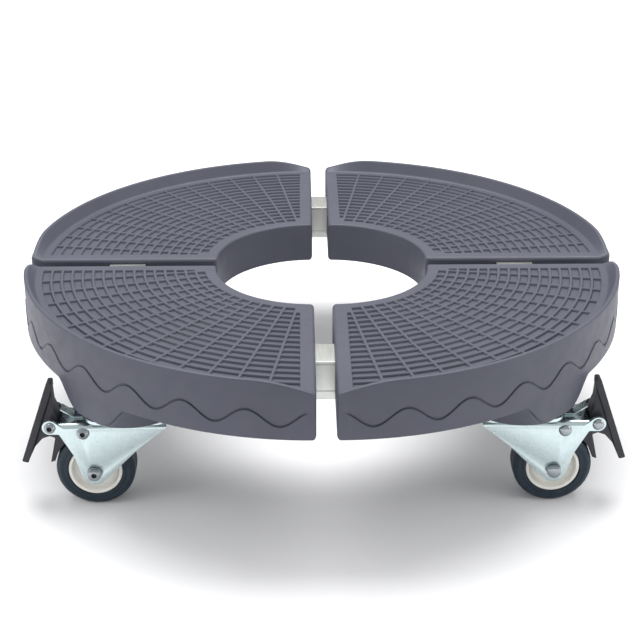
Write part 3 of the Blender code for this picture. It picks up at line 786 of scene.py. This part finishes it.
# ---------------------------------------------------------------- tubes and their screws
def tube_mesh(length):
    """Roll-formed square tube along X, with two shallow roller lines on its front and back faces."""
    half = TUBE / 2
    inner = half - TUBE_WALL
    line = 0.3 * MM
    corner = 0.4 * MM
    outside = []
    for side in (1, -1):
        outside.append((side * half, -side * half, corner))
        for z in sorted((-half + 5.6 * MM, half - 1.9 * MM), reverse=side < 0):
            groove = [(half, z - side * line), (half - line, z), (half, z + side * line)]
            outside += [(side * y, height, 0) for y, height in groove]
        outside.append((side * half, side * half, corner))
    outer = rounded(outside, 6)
    hole = [(inner, -inner), (inner, inner), (-inner, inner), (-inner, -inner)]
    hole = rounded([(y, z, 0.8 * MM) for y, z in hole], 3)
    bm = bmesh.new()
    add_stack(bm, [[(x, y, z) for y, z in outer] for x in (0, length)])
    shell = mesh_from(bm, "tube")
    bm = bmesh.new()
    add_stack(bm, [[(x, y, z) for y, z in hole] for x in (-MM, length + MM)])
    return combine(shell, [("DIFFERENCE", mesh_from(bm, "bore"))], "tube")


def tube_screw_mesh(length, head_radius, head_height):
    """Cross-recessed screw, its head down at z = 0 and its shank up."""
    r = head_radius
    profile = [(0, 0), (r * 0.55, 0.1 * MM), (r * 0.85, 0.5 * MM), (r, 1.4 * MM), (r, head_height)]
    profile += [(SCREW_RADIUS, head_height), (SCREW_RADIUS, length - MM), (0, length)]
    half = 0.45 * MM
    arm = 2.2 * MM
    depth = 1.3 * MM
    recess = [box((-arm, -half, -MM), (arm, half, depth)), box((-half, -arm, -MM), (half, arm, depth))]
    return combine(turned(profile, 40, "screw"), [("DIFFERENCE", mesh) for mesh in recess], "screw")


def lock_screw_mesh(knob_height, length):
    """Knurled thumb screw, knob down at z = 0."""
    count = KNOB_LOBES * 8
    loops = []
    for radius, z in ((6.4, 0), (7.4, 0.5), (7.8, 1.3), (7.8, 7.2), (7.3, 7.8), (5, knob_height / MM)):
        loop = []
        for i in range(count):
            a = 2 * math.pi * i / count
            ripple = 0.32 * math.cos(KNOB_LOBES * a) * min(1, (radius - 5) / 2.4)
            reach = (radius + ripple) * MM
            loop.append((reach * math.cos(a), reach * math.sin(a), z * MM))
        loops.append(loop)
    bm = bmesh.new()
    add_stack(bm, loops)
    knob = mesh_from(bm, "knob")
    return combine(knob, [("UNION", cylinder(SCREW_RADIUS, knob_height - MM, length, 32))], "lock_screw")


def build_links():
    low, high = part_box("tube_screw_front")
    screw = tube_screw_mesh(high.z - low.z, (high.x - low.x) / 2, SCREW_HEAD)
    screw_z = low.z
    low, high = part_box("lock_screw_front")
    lock = lock_screw_mesh(KNOB_HEIGHT, high.z - low.z)
    lock_z = low.z
    for link in ("front", "rear", "left", "right"):
        low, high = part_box("tube_" + link)
        size = high - low
        middle = (low + high) / 2
        along_x = size.x > size.y
        turn = Matrix.Rotation(0 if along_x else math.pi / 2, 4, "Z")
        start = Vector((low.x, middle.y, middle.z)) if along_x else Vector((middle.x, low.y, middle.z))
        mesh = tube_mesh(max(size.x, size.y))
        mesh.transform(Matrix.Translation(start) @ turn)
        finish = TUBE_STEEL_X if along_x else TUBE_STEEL_Y
        body = frame["nodes"]["tube_" + link]["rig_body"]
        piece(mesh, "square_tube_" + link, body, finish, ["tube_" + link])
        for node, shape, z, finish, slot in (
            ("tube_screw_", screw, screw_z, RIVET_STEEL, "rivet_steel"),
            ("lock_screw_", lock, lock_z, PEDAL_PLASTIC, "pedal_plastic"),
        ):
            low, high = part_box(node + link)
            spot = Matrix.Translation(((low.x + high.x) / 2, (low.y + high.y) / 2, z))
            body = frame["nodes"][node + link]["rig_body"]
            piece(shape, "turned_" + node + link, body, finish, [node + link], spot)


# ------------------------------------------------ casters, trailing towards -X from the swivel axis
AXLE = (-TRAIL, WHEEL_RADIUS)


def plate_mesh():
    """Mounting plate with rounded corners and the pressed swivel race."""
    high = PAD_Z - FIT
    low = high - PLATE_THICKNESS
    half = PLATE_HALF
    square = [(half, half), (-half, half), (-half, -half), (half, -half)]
    corners = rounded([(x, y, PLATE_CORNER) for x, y in square], 8)
    bm = bmesh.new()
    add_stack(bm, [[(x, y, z) for x, y in corners] for z in (low, high)])
    race_low = FORK_TOP_Z + 2.4 * MM
    race = [(0, race_low, 0), (18 * MM, race_low, 1.2 * MM), (19.5 * MM, low + MM, 0), (0, low + MM, 0)]
    steps = [("UNION", turned(rounded(race), 64, "race"))]
    steps.append(("DIFFERENCE", cylinder(KINGPIN_RADIUS + FIT, race_low - MM, high + MM, 40)))
    for x in (-PLATE_HOLE, PLATE_HOLE):
        for y in (-PLATE_HOLE, PLATE_HOLE):
            steps.append(("DIFFERENCE", cylinder(PLATE_HOLE_RADIUS, low - MM, high + MM, 24, (x, y))))
    return softened(combine(mesh_from(bm, "plate"), steps, "plate"), 0.35 * MM)


def kingpin_mesh():
    """Swivel rivet: a dimpled lower head under the crown and a plain upper head on the plate."""
    low = FORK_TOP_Z - SHEET - FIT
    high = PAD_Z
    under = low - KINGPIN_HEAD
    wide = KINGPIN_HEAD_RADIUS
    profile = [
        (0, under + 0.5 * MM),
        (2.5 * MM, under + 0.3 * MM),
        (3.2 * MM, under),
        (wide - 1.6 * MM, under),
        (wide - 0.5 * MM, under + 0.8 * MM),
        (wide, low - 0.2 * MM),
        (wide, low),
        (KINGPIN_RADIUS, low),
        (KINGPIN_RADIUS, high),
        (wide, high),
        (wide - MM, high + KINGPIN_HEAD),
        (0, high + KINGPIN_HEAD),
    ]
    return turned(profile, 48, "kingpin")


def fork_mesh():
    """Legs and crown pressed from one sheet: a channel with rounded bends, cut to the side outline."""
    half = FORK_WIDTH / 2
    bend = 3.2 * MM
    top = FORK_TOP_Z
    low = 10 * MM
    outer = [(-half, low, 0), (half, low, 0), (half, top, bend), (-half, top, bend)]
    inner_half = half - SHEET
    inner_top = top - SHEET
    inner = [(-inner_half, low - MM, 0), (inner_half, low - MM, 0)]
    inner += [(inner_half, inner_top, bend - SHEET), (-inner_half, inner_top, bend - SHEET)]
    solids = []
    for section, far in ((outer, CUT_REACH), (inner, CUT_REACH + 10 * MM)):
        bm = bmesh.new()
        add_stack(bm, [[(x, y, z) for y, z in rounded(section, 7)] for x in (-far, far)])
        solids.append(mesh_from(bm, "channel"))
    side = arc(AXLE, 8 * MM, 205, 320, 18)
    side += in_mm([(4.6, 42.7), (22.5, 57.6)]) + [(22.5 * MM, top + MM), (-44.5 * MM, top + MM)]
    side += in_mm([(-44.5, 53.6), (-36, 38)])
    cuts = [("DIFFERENCE", solids[1]), ("INTERSECT", slab(side, CUT_REACH, "side"))]
    channel = combine(solids[0], cuts, "channel")
    ear = arc(PEDAL_PIVOT, 4.8 * MM, 45, 262, 20) + in_mm([(-44.6, 53.2), (-40, 50), (-40, 56.2)])
    steps = [("UNION", slab(ear, SHEET, "ear", sign * (half - SHEET / 2))) for sign in (-1, 1)]
    race_top = top + 2.1 * MM
    race_radius = 12.5 * MM
    race = [(0, top - MM, 0), (race_radius, top - MM, 0)]
    race += [(race_radius, race_top, 0.8 * MM), (0, race_top, 0)]
    steps.append(("UNION", turned(rounded(race), 64, "race")))
    steps.append(("DIFFERENCE", cylinder(KINGPIN_RADIUS + FIT, 50 * MM, 70 * MM, 40)))
    for spot, radius in ((AXLE, AXLE_RADIUS), (PEDAL_PIVOT, PIN_RADIUS), (STOP_PIN, PIN_RADIUS)):
        steps.append(("DIFFERENCE", along_y(cylinder(radius + FIT, -FORK_WIDTH, FORK_WIDTH, 32), *spot)))
    return softened(combine(channel, steps, "fork"), 0.3 * MM, 2, 50)


def cross_pin(shaft, head, thickness, far_head, recessed=True):
    """A pin through both legs: its head at -Y dimpled or plain, a plain head or a thread at +Y."""
    edge = FORK_WIDTH / 2 + FIT
    tip = edge + thickness
    plain = [
        (0, -tip),
        (head * 0.45, -tip + 0.12 * MM),
        (head * 0.75, -tip + 0.42 * MM),
        (head * 0.93, -tip + 0.9 * MM),
        (head, -edge - 0.3 * MM),
        (head, -edge),
        (shaft, -edge),
    ]
    dimpled = [
        (0, -tip + 1.1 * MM),
        (0.9 * MM, -tip + 0.9 * MM),
        (1.5 * MM, -tip + 0.15 * MM),
        (2 * MM, -tip),
        (head * 0.72, -tip + 0.3 * MM),
        (head * 0.9, -tip + 0.75 * MM),
        (head * 0.93, -edge - 0.45 * MM),
        (head, -edge - 0.4 * MM),
        (head, -edge),
        (shaft, -edge),
    ]
    dome = dimpled if recessed else plain
    if far_head:
        profile = dome + [(r, -z) for r, z in reversed(plain)]
    else:
        end = edge + 6 * MM
        profile = dome + [(shaft, end - 0.6 * MM), (shaft - 0.6 * MM, end), (0, end)]
    return along_y(turned(profile, 48, "pin"))


def nut_mesh():
    """Hexagon nut with chamfered corners."""
    low = FORK_WIDTH / 2 + FIT
    high = low + NUT_HEIGHT
    hexagon = turned([(0, low), (NUT_RADIUS, low), (NUT_RADIUS, high), (0, high)], 6, "hexagon")
    chamfer = [(0, low), (5.2 * MM, low), (5.8 * MM, low + 0.5 * MM)]
    chamfer += [(5.8 * MM, high - 0.5 * MM), (5 * MM, high), (0, high)]
    cone = turned(chamfer, 48, "cone")
    hole = cylinder(AXLE_RADIUS + FIT, 0, FORK_WIDTH, 32)
    nut = combine(hexagon, [("INTERSECT", cone), ("DIFFERENCE", hole)], "nut")
    return along_y(softened(nut, 0.12 * MM))


def tyre_mesh():
    """Solid tyre with rolled shoulders, a mould line round the tread and a bead beside the hub."""
    half = WHEEL_WIDTH / 2
    r = WHEEL_RADIUS
    inner = HUB_RADIUS + FIT
    side = [(r, 0.35 * MM, 0), (r - 0.25 * MM, 0.5 * MM, 0), (r - 0.05 * MM, 0.8 * MM, 0)]
    side += [(r - 0.15 * MM, half - 2.6 * MM, 3 * MM), (r - 3 * MM, half - 0.2 * MM, 1.4 * MM)]
    side += [(inner + 2.2 * MM, half - 0.5 * MM, 0), (inner + 1.6 * MM, half, 0.4 * MM)]
    side += [(inner, half, 0.4 * MM)]
    mirror = [(x, -y, radius) for x, y, radius in reversed(side)]
    return along_y(turned(rounded(side + mirror, 5), 112, "tyre", True))


def hub_mesh():
    """Spool-shaped wheel centre: a rolled rim, a dished web and a boss round the axle."""
    rim = 9 * MM
    boss = 10.2 * MM
    side = [(HUB_RADIUS, rim, 0.7 * MM), (14.9 * MM, rim, 0.7 * MM), (14 * MM, 4.2 * MM, 1.6 * MM)]
    side += [(8.6 * MM, 3.4 * MM, 1.5 * MM), (6.8 * MM, boss, 0.5 * MM), (AXLE_RADIUS + FIT, boss, 0)]
    mirror = [(x, -y, radius) for x, y, radius in reversed(side)]
    return along_y(turned(rounded(side + mirror, 5), FINE, "hub", True))


def pedal_mesh():
    """Brake pedal: a foot blade, narrow at the top, a thinner web and a prong against the tread."""
    blade = [(-51.2, 84.3, 0.8), (-48.2, 84.3, 0.8), (-48.2, 80, 0), (-65.4, 31.3, 0.8), (-69.4, 32.4, 0.8)]
    prong_tip = (-51.8 * MM, 30.3 * MM)
    web = in_mm([(-50, 82.5), (-48.3, 82.5), (-48.4, 70), (-45.4, 60), (-45, 54)])
    web += arc(AXLE, WHEEL_RADIUS + 0.7 * MM, 128, 166, 14)
    web += [prong_tip]
    arch = [(-47.8, 47.6, 1), (-51, 49, 2), (-55.7, 47.4, 3), (-60.6, 41.8, 3)]
    arch += [(-65.2, 32.4, 0), (-67, 35, 0)]
    web += rounded([(*prong_tip, 0)] + in_mm(arch), 4)[1:]
    web_slab = slab(web, 15 * MM, "web")
    solid = combine(slab(rounded(in_mm(blade), 3), 20 * MM, "blade"), [("UNION", web_slab)], "pedal")
    bore = along_y(cylinder(PIN_RADIUS + FIT, -FORK_WIDTH, FORK_WIDTH, 32), *PEDAL_PIVOT)
    pedal = softened(combine(solid, [("DIFFERENCE", bore)], "pedal"), 0.45 * MM, 3)
    for vertex in pedal.vertices:
        vertex.co.y *= 1 - 0.62 * ease((vertex.co.z - 60 * MM) / (22 * MM))
    return pedal


def spring_mesh():
    """Leaf spring on the crown that steadies the pedal."""
    upper = [(-30, 60.1, 0), (-36.3, 60.1, 1.4), (-44.2, 65.4, 0)]
    lower = [(-43.8, 66.1, 0), (-36, 60.9, 1), (-30, 60.9, 0)]
    return slab(rounded(in_mm(upper + lower), 5), 8 * MM, "spring")


def plate_screws_mesh():
    """The four screws that hold a caster's plate to its pad, each stopped at its own angle."""
    screw = tube_screw_mesh(8 * MM, 4.3 * MM, PLATE_SCREW_HEAD)
    low = PAD_Z - FIT - PLATE_THICKNESS - PLATE_SCREW_HEAD - 0.05 * MM
    screws = []
    for x in (-PLATE_HOLE, PLATE_HOLE):
        for y in (-PLATE_HOLE, PLATE_HOLE):
            copy = screw.copy()
            copy.transform(Matrix.Translation((x, y, low)) @ Matrix.Rotation(x * 40 + y * 90, 4, "Z"))
            screws.append(copy)
    return joined(screws, "plate_screws")


def build_casters():
    """The right-hand casters are the left-hand ones turned half round."""
    bolt = cross_pin(AXLE_RADIUS, BOLT_HEAD_RADIUS, BOLT_HEAD, False)
    plain_bolt = cross_pin(AXLE_RADIUS, BOLT_HEAD_RADIUS, BOLT_HEAD, False, False)
    pedal_pin = cross_pin(PIN_RADIUS, PEDAL_PIN_HEAD_RADIUS, PIN_HEAD, True)
    stop_pin = cross_pin(PIN_RADIUS, STOP_PIN_HEAD_RADIUS, PIN_HEAD, True)
    fixed = {
        "plate": (plate_mesh(), "caster_plate_"),
        "rivet": (kingpin_mesh(), "kingpin_"),
    }
    swivelling = {
        "pressed_fork": (fork_mesh(), ZINC_STEEL, "zinc_steel", "fork_", (0, 0)),
        "leaf_spring": (spring_mesh(), ZINC_STEEL, "zinc_steel", "brake_spring_", (0, 0)),
        "headed_bolt": (bolt, PIN_STEEL, "rivet_steel", "axle_bolt_", AXLE),
        "hexagon_nut": (nut_mesh(), PIN_STEEL, "rivet_steel", "axle_nut_", AXLE),
        "pedal_rivet": (pedal_pin, PIN_STEEL, "rivet_steel", "pedal_pin_", PEDAL_PIVOT),
        "stop_rivet": (stop_pin, PIN_STEEL, "rivet_steel", "stop_pin_", STOP_PIN),
    }
    spinning = {
        "solid_tyre": (tyre_mesh(), TYRE_RUBBER, "tyre_rubber", "tyre_"),
        "dished_hub": (hub_mesh(), HUB_PLASTIC, "hub_plastic", "hub_"),
    }
    pedal = pedal_mesh()
    screws = plate_screws_mesh()
    for corner, (sx, sy) in CORNERS.items():
        quarter = corner + "_quarter"
        swivel_turn = Matrix.Rotation(0 if sx < 0 else math.pi, 4, "Z")
        swivel = Matrix.Translation((sx * SWIVEL.x, sy * SWIVEL.y, 0)) @ swivel_turn
        for name, (mesh, node) in fixed.items():
            piece(mesh, f"{name}_{corner}", quarter, ZINC_STEEL, [node + corner], swivel)
        piece(screws, "plate_screws_" + corner, quarter, RIVET_STEEL, (), swivel)
        head_turn = Matrix.Rotation(0 if sx * sy > 0 else math.pi, 4, "Z")
        for name, (mesh, finish, slot, node, (x, z)) in swivelling.items():
            if name == "headed_bolt" and sx * sy < 0:
                mesh, finish = plain_bolt, RIVET_STEEL
            spot = swivel @ Matrix.Translation((x, 0, z))
            if name in ("headed_bolt", "hexagon_nut"):
                spot = spot @ head_turn
            piece(mesh, f"{name}_{corner}", "caster_" + corner, finish, [node + corner], spot)
        axle = swivel @ Matrix.Translation((AXLE[0], 0, AXLE[1]))
        for name, (mesh, finish, slot, node) in spinning.items():
            piece(mesh, f"{name}_{corner}", "wheel_" + corner, finish, [node + corner], axle)
        name = "brake_lever_" + corner
        piece(pedal, name, "brake_" + corner, PEDAL_PLASTIC, ["pedal_" + corner], swivel)


# ---------------------------------------------------------------- stage, light and camera
def build_stage():
    """A pale floor, 12 m across."""
    half = 6
    corners = [(-half, -half, 0), (half, -half, 0), (half, half, 0), (-half, half, 0)]
    floor_mesh = bpy.data.meshes.new("floor")
    floor_mesh.from_pydata(corners, [], [(0, 1, 2, 3)])
    floor = bpy.data.objects.new("floor", floor_mesh)
    scene.collection.objects.link(floor)
    made, _, shader = new_material("floor_paper", (0.9, 0.9, 0.91), 0.75)
    shader.inputs["Specular IOR Level"].default_value = 0.2
    floor_mesh.materials.append(made)


def area_light(name, spot, aim, size, watts):
    data = bpy.data.lights.new(name, "AREA")
    data.shape = "RECTANGLE"
    data.size, data.size_y = size
    data.energy = watts
    obj = bpy.data.objects.new(name, data)
    scene.collection.objects.link(obj)
    obj.location = spot
    obj.rotation_euler = (Vector(aim) - Vector(spot)).to_track_quat("-Z", "Y").to_euler()


def build_lights():
    world = bpy.data.worlds.new("studio")
    world.use_nodes = True
    world.node_tree.nodes["Background"].inputs["Color"].default_value = (1, 1, 1, 1)
    world.node_tree.nodes["Background"].inputs["Strength"].default_value = 0.72
    scene.world = world
    target = (0, 0, 0.08)
    area_light("overhead", (0, 0.42, 1.7), target, (1.8, 1.0), 38)
    area_light("left_wing", (-1.5, -0.5, 0.7), target, (0.9, 0.9), 7)
    area_light("right_wing", (1.5, -0.5, 0.7), target, (0.9, 0.9), 6)


def build_camera():
    data = bpy.data.cameras.new("camera")
    data.lens = 77.46
    data.sensor_width = 36
    data.clip_end = 30
    camera = bpy.data.objects.new("camera", data)
    scene.collection.objects.link(camera)
    camera.location = (-0.0134, -0.8802, 0.4737)
    aim = Vector((-0.00105, 0, 0.0694)) - camera.location
    camera.rotation_euler = aim.to_track_quat("-Z", "Y").to_euler()
    scene.camera = camera


build_camera()
build_stage()
build_lights()
build_trays()
build_links()
build_casters()
bpy.data.collections.remove(workbench)
scene.view_settings.view_transform = "Standard"
